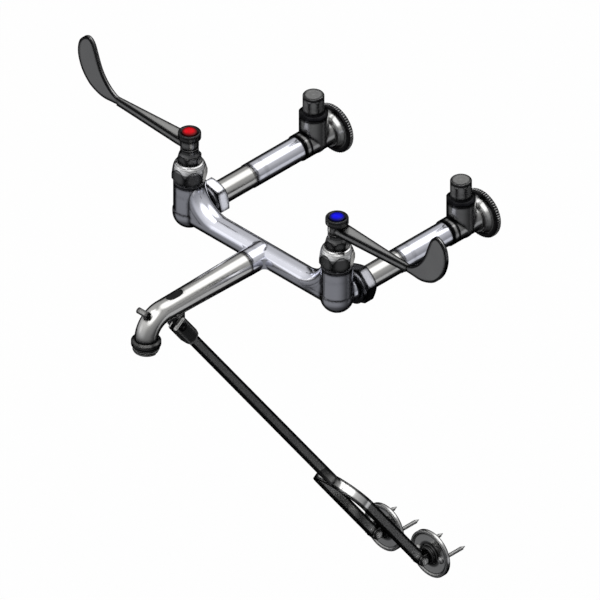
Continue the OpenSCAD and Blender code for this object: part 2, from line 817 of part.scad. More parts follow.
module handle_screw(side) color(steel) at_valve(side) {
    head_z = screw_seat_z + handle_web_t;
    head_top = head_z + handle_screw_head_t;
    difference() {
        rod_z(handle_screw_head_r, head_z, head_top);
        translate([-handle_screw_head_r - cut, -handle_screw_slot_w / 2, head_top - handle_screw_slot_h])
            cube([2 * (handle_screw_head_r + cut), handle_screw_slot_w, handle_screw_slot_h + cut]);
    }
    rod_z(handle_screw_r - fit_gap, spline_top - handle_screw_len + handle_screw_tip_gap, head_z + fit_gap);
}

module index_button(side) color(side < 0 ? red : blue) at_valve(side) {
    base_z = handle_top - index_recess;
    ball_r = (index_r * index_r + index_dome * index_dome) / (2 * index_dome);
    rod_z(index_r, base_z, handle_top);
    intersection() {
        translate([0, 0, handle_top + index_dome - ball_r]) sphere(r = ball_r);
        rod_z(index_r, handle_top - fit_gap, handle_top + index_dome + cut);
    }
}

// Supply arm: coupling nut, washer, tube and sleeve
module coupling_nut(side) color(casting) at_supply(side) difference() {
    outline_r = corner(nut_flats) + corner_margin;
    intersection() {
        translate([0, nut_rear_y, 0]) rotate([90, 0, 0])
            hex_bar(nut_flats, 0, nut_len, side < 0 ? 3 * hex_turn : hex_turn);
        turned_y([
            [0, inlet_face_y], [nut_flats / 2 - flat_inset, inlet_face_y],
            [outline_r, inlet_face_y + nut_chamfer / 2], [outline_r, nut_rear_y - nut_chamfer],
            [nut_flats / 2 - nut_chamfer / 2, nut_rear_y], [0, nut_rear_y],
        ]);
    }
    rod_y(union_thread_r + fit_gap, inlet_face_y - cut, tail_end_y + fit_gap);
    rod_y(tube_r + fit_gap, inlet_face_y, nut_rear_y + cut);
}

module coupling_washers() color(rubber) for (side = [hot, cold]) at_supply(side) difference() {
    rod_y(tail_flange_r, washer_start_y, tail_start_y);
    rod_y(supply_bore_r, washer_start_y - cut, tail_start_y + cut);
}

module supply_tube(side) color(nickel) at_supply(side) difference() {
    union() {
        rod_y(tail_flange_r, tail_start_y, tail_end_y);
        rod_y(tube_r, tail_start_y, sleeve_start_y);
        rod_y(arm_thread_r, tail_start_y, sleeve_start_y + arm_thread_len);
    }
    rod_y(supply_bore_r, tail_start_y - cut, sleeve_start_y + arm_thread_len + cut);
}

module arm_sleeve(side) color(casting) at_supply(side) difference() {
    union() {
        rod_y(sleeve_r, sleeve_start_y, stop_start_y);
        rod_y(arm_thread_r, sleeve_start_y, stop_start_y + arm_thread_len / 2);
    }
    rod_y(arm_thread_r + fit_gap, sleeve_start_y - cut, sleeve_start_y + arm_thread_len + fit_gap);
    rod_y(supply_bore_r, sleeve_start_y, stop_start_y + arm_thread_len);
}

// Stop: cast body with upright barrel, bonnet, cap, spindle and washer
module stop_body(side) color(dark_chrome) at_supply(side) difference() {
    bead_end_y = stop_start_y + stop_bead_len;
    union() {
        turned_y([
            [0, stop_start_y], [stop_r, stop_start_y], [stop_r, bead_end_y],
            [stop_r - stop_groove, bead_end_y], [stop_r - stop_groove, bead_end_y + stop_groove_w],
            [stop_r, bead_end_y + stop_groove_w], [stop_r, 0], [0, 0],
        ]);
        translate([0, stop_y, 0]) {
            sphere(r = barrel_r);
            rod_z(barrel_r, 0, barrel_top);
        }
    }
    rod_y(arm_thread_r + fit_gap, stop_start_y - cut, stop_start_y + arm_thread_len / 2 + fit_gap);
    translate([0, 0, stop_outlet_z]) rod_y(stop_passage_r, stop_start_y + arm_thread_len / 2, stop_y);
    translate([0, 0, stop_inlet_z]) rod_y(stop_passage_r, stop_y, -inlet_thread_len + cut);
    rod_y(inlet_thread_r, -inlet_thread_len, cut);
    translate([0, stop_y, 0]) {
        rod_z(stop_seat_r, stop_inlet_z, barrel_top);
        rod_z(stop_chamber_r, stop_seat_z, barrel_top);
        rod_z(stop_bonnet_thread_r + fit_gap,
            barrel_top - stop_bonnet_thread_len - fit_gap, barrel_top + cut);
    }
}

module stop_bonnet(side) color(dark_chrome) at_stop(side) difference() {
    union() {
        rod_z(stop_bonnet_thread_r, barrel_top - stop_bonnet_thread_len, barrel_top + cut);
        rod_z(cap_thread_r, barrel_top, cap_z + cap_thread_len);
        intersection() {
            hex_bar(2 * barrel_r, barrel_top, cap_z, cap_turn, cap_sides);
            turned([
                [0, barrel_top], [barrel_r - fit_gap, barrel_top],
                [barrel_r + stop_bonnet_band_h / 3, barrel_top + stop_bonnet_band_h / 2],
                [barrel_r + stop_bonnet_band_h / 3, barrel_top + stop_bonnet_band_h],
                [corner(cap_flats, cap_sides), cap_z - stop_bonnet_band_h], [cap_flats / 2, cap_z], [0, cap_z],
            ]);
        }
    }
    rod_z(spindle_r + run_gap, barrel_top - stop_bonnet_thread_len - cut, cap_z + cap_thread_len + cut);
}

module stop_bonnet_seals() color(rubber) for (side = [hot, cold]) at_stop(side)
    ring(stop_chamber_r - fit_gap, stop_washer_hub_r + 2 * fit_gap,
        barrel_top - stop_bonnet_thread_len - 2 * seal_ring_r, barrel_top - stop_bonnet_thread_len);

module stop_cap(side) color(dark_chrome) at_stop(side) difference() {
    outline_r = corner(cap_flats, cap_sides) + corner_margin;
    intersection() {
        hex_bar(cap_flats, cap_z, cap_top, cap_turn, cap_sides);
        turned([
            [0, cap_z], [cap_flats / 2 - flat_inset, cap_z], [outline_r, cap_z + cap_chamfer / 2],
            for (p = cap_edge_shares) [cap_flats / 2 + p[0] * cap_h, cap_top - p[1] * cap_h],
            [cap_flats / 2 - cap_chamfer / 2, cap_top], [0, cap_top],
        ]);
    }
    rod_z(cap_thread_r + fit_gap, cap_z - cut, cap_z + cap_thread_len + face_gap);
    rod_z(spindle_r + 4 * fit_gap, cap_z, cap_top - cap_wall);
}

module stop_spindle(side) color(brass) at_stop(side) difference() {
    rod_z(spindle_r, spindle_z, spindle_top);
    translate([-spindle_r - cut, -spindle_slot_w / 2, spindle_top - spindle_slot_h])
        cube([2 * (spindle_r + cut), spindle_slot_w, spindle_slot_h + cut]);
    rod_z(stop_jumper_r + run_gap, spindle_z - cut, spindle_z + stop_jumper_h + run_gap);
}

module stop_washer(side) color(rubber) at_stop(side) {
    rod_z(stop_washer_r, stop_washer_z, stop_washer_z + stop_washer_t);
    rod_z(stop_washer_hub_r, stop_washer_z, spindle_z - run_gap);
    rod_z(stop_jumper_r, stop_washer_z, spindle_z + stop_jumper_h);
}

// Wall flange: dished shell with a thick rim
module wall_flange(side) color(dark_chrome) at_supply(side) turned_y([
    [flange_r, 0], [flange_r, -flange_rim_t + flange_rim_groove],
    [flange_r - flange_rim_groove, -flange_rim_t],
    [flange_face_r, -flange_rim_t], [flange_face_r - flange_wall, -flange_rim_t - flange_wall / 2],
    [flange_neck_r + flange_wall, -flange_h + flange_wall], [flange_neck_r, -flange_h],
    [flange_hole_r, -flange_h], [flange_hole_r, -flange_h + 2 * flange_wall],
    [flange_face_r - flange_wall, -flange_rim_t + flange_wall], [flange_face_r, 0],
]);

// Brace, drawn hanging from the upper pivot and then tipped towards the wall
module on_brace() translate([0, pivot_y, pivot_z]) rotate([brace_angle, 0, 0]) children();

// Lengthwise outline across X, given as a flat shape in Y and Z
module across_x(from, to) translate([from, 0, 0]) rotate([90, 0, 90]) linear_extrude(to - from) children();

module clevis_outline() {
    half = clevis_w / 2;
    translate([0, -clevis_len + half]) circle(r = half);
    translate([-half, -clevis_len + half])
        square([clevis_w, clevis_len - half + clevis_above - clevis_corner_r]);
    translate([-half + clevis_corner_r, -clevis_len + half])
        square([clevis_w - 2 * clevis_corner_r, clevis_len - half + clevis_above]);
    for (y = [-half + clevis_corner_r, half - clevis_corner_r])
        translate([y, clevis_above - clevis_corner_r]) circle(r = clevis_corner_r);
}

// Block of the clevis, with its long edges and its top edges bevelled
module clevis_block() {
    height = 2 * (clevis_len + clevis_w);
    intersection() {
        across_x(-ear_outer_x, ear_outer_x) clevis_outline();
        edge_bar(ear_outer_x + clevis_w / 2 - clevis_bevel, height);
        translate([0, 0, clevis_above + ear_outer_x - clevis_bevel - height / 2])
            rotate([90, 0, 0]) edge_bar(height / 2, height);
    }
}

module brace_clevis() color(steel) on_brace() difference() {
    clevis_block();
    translate([-ear_inner_x, -clevis_w, -clevis_root])
        cube([2 * ear_inner_x, 2 * clevis_w, clevis_root + clevis_above + cut]);
    rod_x(pivot_bolt_r + run_gap, -ear_outer_x - cut, ear_outer_x + cut);
    bar_outline(-clevis_len - cut, -clevis_len + clevis_socket + fit_gap, fit_gap);
}

module bar_outline(from, to, gap) translate([-brace_t / 2 - gap, -brace_w / 2 - gap, from])
    cube([brace_t + 2 * gap, brace_w + 2 * gap, to - from]);

module brace_bar() color(steel) on_brace() {
    bar_outline(-yoke_at + brace_t / 2, -clevis_len + clevis_socket, 0);
    translate([0, 0, -yoke_at - brace_t / 2]) cylinder(r = yoke_pin_r, h = brace_t + cut);
}

module yoke_leg() {
    across_x(leg_inner_x, leg_outer_x) {
        translate([-strap_w / 2, -brace_len])
            square([strap_w, brace_len - yoke_at - strap_corner_r + brace_t / 2]);
        translate([0, -brace_len]) circle(r = strap_w / 2);
    }
    // Bent corner between the leg and the cross strap
    translate([leg_outer_x - strap_corner_r, 0, -yoke_at + brace_t / 2 - strap_corner_r])
        rotate([90, 0, 0]) translate([0, 0, -strap_w / 2]) rotate_extrude_quarter();
    translate([0, -strap_w / 2, -yoke_at - brace_t / 2])
        cube([leg_outer_x - strap_corner_r, strap_w, brace_t]);
}

module rotate_extrude_quarter() linear_extrude(strap_w) intersection() {
    difference() {
        circle(r = strap_corner_r);
        circle(r = strap_corner_r - brace_t);
    }
    square(strap_corner_r);
}

module brace_yoke() color(steel) on_brace() difference() {
    both() yoke_leg();
    translate([0, 0, -yoke_at - brace_t]) cylinder(r = yoke_pin_r + fit_gap, h = 2 * brace_t);
    translate([0, 0, -brace_len]) rod_x(hinge_bolt_r + run_gap, -leg_outer_x - cut, leg_outer_x + cut);
}

module pivot_bolt() color(steel) on_brace() {
    rod_x(pivot_bolt_r, -ear_outer_x - bolt_tail, ear_outer_x + fit_gap);
    rod_x(bolt_head_r, ear_outer_x, ear_outer_x + bolt_head_t);
}

module pivot_nut() color(steel) on_brace() difference() {
    translate([-ear_outer_x, 0, 0]) rotate([0, -90, 0])
        hex_bar(nut_af_share * pivot_bolt_r, 0, pivot_nut_t);
    rod_x(pivot_bolt_r + fit_gap, -ear_outer_x - pivot_nut_t - cut, -ear_outer_x + cut);
}

module at_hinge(side) translate([side * leg_x, hinge_y, hinge_z]) children();

module hinge_bolts() color(steel) for (side = [hot, cold]) at_hinge(side) {
    ear_out = hinge_ear_x + hinge_ear_t;
    rod_x(hinge_bolt_r, -ear_out - hinge_tail, ear_out + fit_gap);
    rod_x(hinge_head_r, ear_out + run_gap, ear_out + run_gap + hinge_head_t);
}

module hinge_nuts() color(steel) for (side = [hot, cold]) at_hinge(side) difference() {
    ear_out = hinge_ear_x + hinge_ear_t + run_gap;
    translate([-ear_out, 0, 0]) rotate([0, -90, 0]) hex_bar(nut_af_share * hinge_bolt_r, 0, hinge_nut_t);
    rod_x(hinge_bolt_r + fit_gap, -ear_out - hinge_nut_t - cut, -ear_out + cut);
}

// Brace flange: round foot with a raised rim, a boss, two hinge ears and two screw holes
module brace_flange(side) color(dark_chrome) translate([side * leg_x, 0, hinge_z]) difference() {
    union() {
        turned_y([
            [0, 0], [foot_r, 0], [foot_r, -foot_t + foot_edge / 2], [foot_r - foot_edge / 2, -foot_t],
            [foot_r - foot_rim_w, -foot_t], [foot_r - foot_rim_w - foot_recess, -foot_face_t],
            [foot_boss_r + foot_edge, -foot_face_t], [foot_boss_r, -foot_face_t - foot_edge],
            [foot_boss_r, -foot_t - foot_boss_h + foot_edge],
            [foot_boss_r - foot_edge, -foot_t - foot_boss_h], [0, -foot_t - foot_boss_h],
        ]);
        for (x = [-hinge_ear_x - hinge_ear_t, hinge_ear_x]) across_x(x, x + hinge_ear_t) {
            translate([hinge_y, 0]) circle(r = hinge_ear_r);
            translate([hinge_y, -hinge_ear_r]) square([hinge_reach - foot_t, 2 * hinge_ear_r]);
        }
    }
    translate([0, hinge_y, 0]) rod_x(hinge_bolt_r + run_gap, -foot_boss_r, foot_boss_r);
    for (x = [-screw_centres / 2, screw_centres / 2]) translate([x, 0, 0])
        rod_y(screw_neck_r + 2 * fit_gap, -foot_t - cut, cut);
}

module wall_screws(side) color(steel) translate([side * leg_x, 0, hinge_z])
    for (x = [-screw_centres / 2, screw_centres / 2]) translate([x, 0, 0]) turned_y([
        [0, -foot_face_t - screw_head_t], [screw_head_r / 2, -foot_face_t - screw_head_t],
        [screw_head_r, -foot_face_t - screw_head_t / 3], [screw_head_r, -foot_face_t],
        [screw_neck_r, -foot_face_t],
        [screw_neck_r, screw_neck_past], [screw_r, screw_neck_past], [screw_r, screw_reach - screw_tip],
        [screw_r / 4, screw_reach], [0, screw_reach],
    ]);

valve_body();
spout();
hose_outlet();
outlet_washer();
bonnet(hot);  // hot_bonnet
bonnet(cold);  // cold_bonnet
gland_nut(hot);  // hot_gland_nut
gland_nut(cold);  // cold_gland_nut
bonnet_gaskets();
packing_rings();
seat_seals();
fixed_discs();
cartridge(hot);  // hot_cartridge
cartridge(cold);  // cold_cartridge
turning_disc(hot);  // hot_turning_disc
turning_disc(cold);  // cold_turning_disc
stem(hot);  // hot_stem
stem(cold);  // cold_stem
handle(hot);  // hot_handle
handle(cold);  // cold_handle
handle_screw(hot);  // hot_handle_screw
handle_screw(cold);  // cold_handle_screw
index_button(hot);  // hot_index_button
index_button(cold);  // cold_index_button
coupling_nut(hot);  // hot_coupling_nut
coupling_nut(cold);  // cold_coupling_nut
coupling_washers();
supply_tube(hot);  // hot_supply_tube
supply_tube(cold);  // cold_supply_tube
arm_sleeve(hot);  // hot_arm_sleeve
arm_sleeve(cold);  // cold_arm_sleeve
stop_body(hot);  // hot_stop_body
stop_body(cold);  // cold_stop_body
stop_bonnet(hot);  // hot_stop_bonnet
stop_bonnet(cold);  // cold_stop_bonnet
stop_cap(hot);  // hot_stop_cap
stop_cap(cold);  // cold_stop_cap
stop_bonnet_seals();
stop_spindle(hot);  // hot_stop_spindle
stop_spindle(cold);  // cold_stop_spindle
stop_washer(hot);  // hot_stop_washer
stop_washer(cold);  // cold_stop_washer
wall_flange(hot);  // hot_wall_flange
wall_flange(cold);  // cold_wall_flange
brace_clevis();
brace_bar();
brace_yoke();
pivot_bolt();
pivot_nut();
hinge_bolts();
hinge_nuts();
brace_flange(hot);  // hot_brace_flange
brace_flange(cold);  // cold_brace_flange
wall_screws(hot);  // hot_wall_screws
wall_screws(cold);  // cold_wall_screws
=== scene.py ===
"""Looks of a wall-mounted service-sink faucet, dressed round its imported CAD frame."""

import logging
import math
from dataclasses import dataclass, field
from enum import Enum

import bmesh
import bpy
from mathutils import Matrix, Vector

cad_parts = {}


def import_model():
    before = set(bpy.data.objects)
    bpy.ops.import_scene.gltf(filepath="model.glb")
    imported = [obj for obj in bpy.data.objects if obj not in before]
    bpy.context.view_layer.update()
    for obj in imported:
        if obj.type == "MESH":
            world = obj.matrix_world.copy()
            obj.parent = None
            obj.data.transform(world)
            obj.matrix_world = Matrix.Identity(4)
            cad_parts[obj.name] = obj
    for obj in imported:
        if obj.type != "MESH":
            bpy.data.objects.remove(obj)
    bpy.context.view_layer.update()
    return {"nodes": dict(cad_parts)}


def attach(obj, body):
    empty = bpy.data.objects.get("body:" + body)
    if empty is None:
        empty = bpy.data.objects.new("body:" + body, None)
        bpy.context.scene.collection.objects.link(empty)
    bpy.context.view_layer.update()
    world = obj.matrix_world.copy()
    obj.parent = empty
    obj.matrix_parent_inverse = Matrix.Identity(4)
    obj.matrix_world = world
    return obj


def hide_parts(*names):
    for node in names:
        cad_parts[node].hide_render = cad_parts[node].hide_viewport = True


Colour = tuple[float, float, float]
Point = tuple[float, float, float]
Socket = bpy.types.NodeSocket

LOG = logging.getLogger("faucet")
MM = 0.001

# Places of the CAD that the zones and the detail pieces share, in millimetres
SUPPLY_X = 101.6
VALVE_Y = -200.5
STOP_Y = -29.7
OUTLET_Y = -361.8
PIVOT_Y = -317.0
FOOT_X = 31.7
FOOT_Z = -441.6


class Side(Enum):
    """The two supply sides of the faucet, with the sign of their X."""

    HOT = -1
    COLD = 1

    @property
    def label(self) -> str:
        """The word that starts the side's node names."""
        return self.name.lower()


class Nodes:
    """Adds and wires the shader or geometry nodes of one tree."""

    def __init__(self, tree: bpy.types.NodeTree) -> None:
        """Starts with an empty tree.

        Args:
            tree: The node tree that is filled.
        """
        self.tree = tree
        tree.nodes.clear()

    def add(self, kind: str, settings: dict | None = None, **inputs: object) -> bpy.types.Node:
        """Adds a node, sets its properties and sets or wires its inputs.

        Args:
            kind: The node's type name.
            settings: Properties to set on the node.
            **inputs: Values or output sockets, by input name with spaces written as underscores,
                or by number as i0, i1 and so on.

        Returns:
            The new node.
        """
        node = self.tree.nodes.new(kind)
        for key, value in (settings or {}).items():
            setattr(node, key, value)
        for key, value in inputs.items():
            numbered = key[0] == "i" and key[1:].isdigit()
            self.feed(node.inputs[int(key[1:]) if numbered else key.replace("_", " ")], value)
        return node

    def feed(self, socket: Socket, value: object) -> None:
        """Wires an output socket to an input, or sets the input's value."""
        if isinstance(value, Socket):
            self.tree.links.new(value, socket)
        else:
            socket.default_value = value

    def maths(self, operation: str, first: object, second: object = 0.0) -> Socket:
        """Adds a Math node and returns its result."""
        return self.add("ShaderNodeMath", {"operation": operation}, i0=first, i1=second).outputs[0]

    def vector(self, operation: str, *values: object) -> Socket:
        """Adds a Vector Math node and returns its result."""
        node = self.add("ShaderNodeVectorMath", {"operation": operation})
        for socket, value in zip(node.inputs, values):
            self.feed(socket, value)
        return node.outputs["Value" if operation == "DOT_PRODUCT" else "Vector"]

    def noise(self, place: Socket, scale: float, detail: float) -> Socket:
        """Adds a Noise Texture and returns its factor."""
        return self.add("ShaderNodeTexNoise", Vector=place, Scale=scale, Detail=detail).outputs["Fac"]

    def mix(self, amount: object, first: Socket, second: Socket) -> Socket:
        """Mixes two shaders and returns the result."""
        return self.add("ShaderNodeMixShader", i0=amount, i1=first, i2=second).outputs[0]

    def ramp(self, value: object, start: float, end: float, low: float, high: float) -> Socket:
        """Maps a value smoothly from start..end to low..high and returns the result."""
        node = self.add("ShaderNodeMapRange", {"interpolation_type": "SMOOTHSTEP"}, Value=value)
        for name, number in (("From Min", start), ("From Max", end), ("To Min", low), ("To Max", high)):
            node.inputs[name].default_value = number
        return node.outputs["Result"]

    def blend(self, amount: object, first: object, second: object) -> Socket:
        """Mixes two colours and returns the result."""
        node = self.add("ShaderNodeMix", {"data_type": "RGBA"})
        self.feed(node.inputs[0], amount)
        self.feed(node.inputs[6], first)
        self.feed(node.inputs[7], second)
        return node.outputs[2]


def rgba(colour: Colour) -> tuple[float, float, float, float]:
    """A colour with full opacity."""
    return (*colour, 1.0)


@dataclass(frozen=True)
class Zone:
    """A part of a piece, on both supply sides, where painted shade and painted highlights are laid or the
    painted outline is left out: an elliptic cylinder, upright or laid along Y.
    """

    middle: Point
    half: Point
    amount: float = 1.0
    laid: bool = False
    fade: tuple[float, float] = (0.85, 1.15)

    def mask(self, make: Nodes, place: Socket) -> Socket:
        """Adds the zone's mask, which fades between two squared shares of the zone's size.

        Args:
            make: The material's node helper.
            place: Object coordinates.

        Returns:
            A value that is the zone's amount inside and zero outside.
        """
        aside = make.vector("MULTIPLY", make.vector("ABSOLUTE", place), (1, 0, 0))
        both = make.vector("MULTIPLY_ADD", place, (0, 1, 1), aside)
        middle = tuple(value * MM for value in self.middle)
        half = tuple(value * MM for value in self.half)
        share = make.vector("DIVIDE", make.vector("SUBTRACT", both, middle), half)
        axes = make.add("ShaderNodeSeparateXYZ", Vector=make.vector("MULTIPLY", share, share)).outputs
        across, along = ("Z", "Y") if self.laid else ("Y", "Z")
        flat = make.maths("ADD", axes["X"], axes[across])
        return make.ramp(make.maths("MAXIMUM", flat, axes[along]), *self.fade, self.amount, 0.0)


@dataclass(frozen=True)
class Surface:
    """What all finishes share: two clouded tones, and a fine grain in gloss and relief."""

    name: str
    colour: Colour
    cloud: Colour
    roughness: float = 0.2
    cloud_scale: float = 22.0
    cloud_range: tuple[float, float] = (0.35, 0.7)
    grain_scale: float = 900.0
    grain_depth: float = 0.012
    grain_range: tuple[float, float] = (0.3, 0.7)
    gloss_spread: float = 0.25

    def shade(self, make: Nodes, place: Socket, tone: Socket) -> Socket:
        """Adds what changes the tone from place to place, and returns the final colour."""
        return tone

    def optics(self) -> dict[str, float]:
        """The shader's fixed inputs."""
        return {}

    def build(self) -> bpy.types.Material:
        """Builds the material.

        Returns:
            The material, ready to be put in a slot.
        """
        material = bpy.data.materials.new(self.name)
        material.use_nodes = True
        make = Nodes(material.node_tree)
        place = make.add("ShaderNodeTexCoord").outputs["Object"]
        clouds = make.ramp(make.noise(place, self.cloud_scale, 3.0), *self.cloud_range, 0.0, 1.0)
        grain = make.noise(place, self.grain_scale, 2.0)
        tone = make.blend(clouds, rgba(self.colour), rgba(self.cloud))
        rough = make.ramp(grain, *self.grain_range, self.roughness * (1 - self.gloss_spread),
                          self.roughness * (1 + self.gloss_spread))
        bump = make.add("ShaderNodeBump", Strength=self.grain_depth, Distance=MM, Height=grain)
        surface = make.add("ShaderNodeBsdfPrincipled", Base_Color=self.shade(make, place, tone),
                           Roughness=rough, Normal=bump.outputs["Normal"], **self.optics())
        make.add("ShaderNodeOutputMaterial", Surface=surface.outputs["BSDF"])
        return material


@dataclass(frozen=True)
class PlatedMetal(Surface):
    """A plated or bare metal with painted shade and painted highlights in zones, and a dark outline
    painted along its edges.
    """

    edge_width: float = 6.2 * MM
    edge_range: tuple[float, float] = (0.007, 0.021)
    edge_colour: Colour = (0.004, 0.004, 0.005)
    edge_amount: float = 0.98
    zones: tuple[Zone, ...] = ()
    zone_colour: Colour = (0.025, 0.025, 0.026)
    unlined: tuple[Zone, ...] = ()

    def shade(self, make: Nodes, place: Socket, tone: Socket) -> Socket:
        """Paints the zones' shade and highlights, and paints a dark outline along every edge outside the
        unlined ones.
        """
        # Painted dark outline along every edge, found where the bevelled normal turns away from the plain
        # one.
        soft = make.add("ShaderNodeBevel", {"samples": 8}, Radius=self.edge_width).outputs["Normal"]
        flat = make.add("ShaderNodeNewGeometry").outputs["Normal"]
        turned = make.maths("SUBTRACT", 1.0, make.vector("DOT_PRODUCT", soft, flat))
        edge = make.ramp(turned, *self.edge_range, 0.0, self.edge_amount)
        for zone in self.unlined:
            edge = make.maths("MULTIPLY", edge, make.maths("SUBTRACT", 1.0, zone.mask(make, place)))
        # Painted shade in each zone, and a painted highlight where the zone colour is pale, as on the
        # flange.
        for zone in self.zones:
            tone = make.blend(zone.mask(make, place), tone, rgba(self.zone_colour))
        return make.blend(edge, tone, rgba(self.edge_colour))

    def optics(self) -> dict[str, float]:
        """Full metal."""
        return {"Metallic": 1.0}


@dataclass(frozen=True)
class MouldedPart(Surface):
    """A plastic, rubber or ceramic with faint mottling and a soft sheen, and painted shade round its
    crowns.
    """

    roughness: float = 0.3
    cloud_scale: float = 160.0
    cloud_range: tuple[float, float] = (0.4, 0.65)
    grain_scale: float = 700.0
    grain_depth: float = 0.02
    gloss_spread: float = 0.2
    sheen: float = 0.5
    crowns: tuple[Zone, ...] = ()
    rim_share: float = 0.12

    def shade(self, make: Nodes, place: Socket, tone: Socket) -> Socket:
        """Keeps the tone on each crown and paints shade on what lies round it."""
        for crown in self.crowns:
            dark = rgba(tuple(part * self.rim_share for part in self.colour))
            tone = make.blend(crown.mask(make, place), dark, tone)
        return tone

    def optics(self) -> dict[str, float]:
        """The strength of the sheen."""
        return {"Specular_IOR_Level": self.sheen}


class Finish(Enum):
    """The finishes of the faucet's pieces; several are lighter or darker copies of chrome that stand in
    for light and shade, and their zones hold painted shade and painted highlights.
    """

    # A dark band painted at the sleeve's joint, painted shade on the collar, and no painted outline at
    # the bar and boss junction.
    CASTING = PlatedMetal("polished_casting", (0.84, 0.85, 0.93), (0.79, 0.80, 0.88), 0.16,
                          zones=(Zone((SUPPLY_X, -52.4, 0), (40, 1.4, 18), 0.97),
                                 Zone((SUPPLY_X, -180, 0), (24, 3.2, 22), 0.6)),
                          unlined=(Zone((17, -213, 0), (9, 16, 16)),))
    # Painted shade on the hose outlet's collar, in the name recess on the spout and round the brace
    # pivot.
    NICKEL = PlatedMetal("satin_nickel", (0.61, 0.605, 0.59), (0.56, 0.555, 0.54), 0.17,
                         zones=(Zone((0, OUTLET_Y, -23.5), (17, 17, 4.5), 0.75),
                                Zone((0, -323, 11), (5, 11, 0.25)),
                                Zone((0, PIVOT_Y, -25), (7, 11, 8), 0.9)))
    # Painted shade on the coupling nut's front ring.
    NUT = PlatedMetal("coupling_chrome", (0.93, 0.94, 1.0), (0.88, 0.89, 0.97), 0.16,
                      zones=(Zone((SUPPLY_X, -177, 0), (26, 1.3, 26), 0.85),))
    # Painted shade on the handle hub, and deeper painted shade on the ring round the index button.
    CHROME = PlatedMetal("handle_chrome", (0.53, 0.53, 0.52), (0.48, 0.48, 0.48),
                         zones=(Zone((SUPPLY_X, VALVE_Y, 82.5), (9.7, 9.7, 5), 0.38),
                                Zone((SUPPLY_X, VALVE_Y, 91.5), (12, 12, 3.8), 0.9)))
    # A brightened base for the painted highlight on the dome, and painted shade on the hex band below it.
    BONNET = PlatedMetal("bonnet_chrome", (0.97, 0.97, 0.96), (0.90, 0.90, 0.90), 0.18, edge_width=9 * MM,
                         zones=(Zone((SUPPLY_X, VALVE_Y, 43), (19, 19, 9.4), 0.78),))
    BRIGHT = PlatedMetal("bright_steel", (0.92, 0.92, 0.91), (0.85, 0.85, 0.84), 0.18,
                         edge_width=1.2 * MM, edge_amount=0.7)
    # Painted shade on the brace foot's face.
    FOOT = PlatedMetal("foot_chrome", (0.62, 0.62, 0.61), (0.55, 0.55, 0.55), edge_width=2.4 * MM,
                       zones=(Zone((FOOT_X, -11, FOOT_Z), (14, 10, 14), 0.85, laid=True),))
    # Painted shade round the stop cap's top edge, laid over its highlight.
    CAP = PlatedMetal("cap_chrome", (0.47, 0.47, 0.46), (0.41, 0.41, 0.41),
                      zones=(Zone((SUPPLY_X, STOP_Y, 52), (14, 14, 1.3), 0.93),))
    # Painted shade as a near-black base, and a painted highlight as the pale zone on the dish.
    FLANGE = PlatedMetal("flange_chrome", (0.05, 0.05, 0.05), (0.03, 0.03, 0.03),
                         zones=(Zone((SUPPLY_X, -6, 0), (20.8, 9, 20.8), laid=True),),
                         zone_colour=(0.62, 0.62, 0.61))
    # Painted shade as a near-black base, and painted highlights as the pale lines along its edges.
    CLEVIS = PlatedMetal("clevis_steel", (0.08, 0.08, 0.08), (0.06, 0.06, 0.06), 0.26,
                         edge_width=4 * MM, edge_colour=(0.55, 0.55, 0.54), edge_amount=0.8)
    HOSE_END = PlatedMetal("hose_end_nickel", (0.36, 0.36, 0.35), (0.30, 0.30, 0.30), 0.22,
                           edge_width=2.4 * MM)
    # Painted shade: a near-black copy of chrome on the stop bonnets and wall screws.
    BLACK_CHROME = PlatedMetal("black_chrome", (0.035, 0.035, 0.036), (0.025, 0.025, 0.026), 0.24)
    POLISHED = PlatedMetal("polished_steel", (0.90, 0.90, 0.89), (0.82, 0.82, 0.81), 0.16)
    # Painted shade on the bar's lower end, where it meets the yoke.
    STEEL = PlatedMetal("brace_steel", (0.46, 0.46, 0.45), (0.38, 0.38, 0.38), 0.26,
                        zones=(Zone((0, -110, -312), (14, 18, 16), 0.85),))
    SHADED = PlatedMetal("shaded_nickel", (0.22, 0.22, 0.22), (0.16, 0.16, 0.16), 0.22)
    # Dark bands painted at the stop body's joints with the sleeve and ring.
    STOP = PlatedMetal("stop_chrome", (0.43, 0.43, 0.42), (0.36, 0.36, 0.36),
                       zones=(Zone((SUPPLY_X, -51.2, 0), (40, 1.2, 18), 0.97),
                              Zone((SUPPLY_X, -44.8, 0), (40, 1.5, 18), 0.97)))
    KNURL = PlatedMetal("knurl_chrome", (0.62, 0.62, 0.61), (0.50, 0.50, 0.50), 0.22, edge_width=0.6 * MM)
    SCREW = PlatedMetal("screw_steel", (0.50, 0.50, 0.49), (0.40, 0.40, 0.40), 0.26, edge_width=0.6 * MM)
    BRASS = PlatedMetal("bare_brass", (0.80, 0.62, 0.30), (0.66, 0.48, 0.22), 0.24)
    RUBBER = MouldedPart("black_rubber", (0.012, 0.012, 0.013), (0.022, 0.022, 0.024), 0.6)
    CERAMIC = MouldedPart("white_ceramic", (0.82, 0.81, 0.78), (0.74, 0.73, 0.70), 0.18)
    # Painted shade darkens each index button towards its rim, round a bright crown.
    RED = MouldedPart("red_index", (0.78, 0.000, 0.010), (0.55, 0.000, 0.005), 0.35, sheen=0.12,
                      crowns=(Zone((SUPPLY_X, VALVE_Y, 94), (6.5, 6.5, 40), fade=(0.15, 1.15)),))
    BLUE = MouldedPart("blue_index", (0.001, 0.001, 0.80), (0.001, 0.001, 0.55), 0.35, sheen=0.12,
                       crowns=(Zone((SUPPLY_X, VALVE_Y, 94), (6.5, 6.5, 40), fade=(0.15, 1.15)),))

    @property
    def material(self) -> bpy.types.Material:
        """The finish's material, built the first time it is asked for."""
        found = bpy.data.materials.get(self.value.name)
        return found if found else self.value.build()


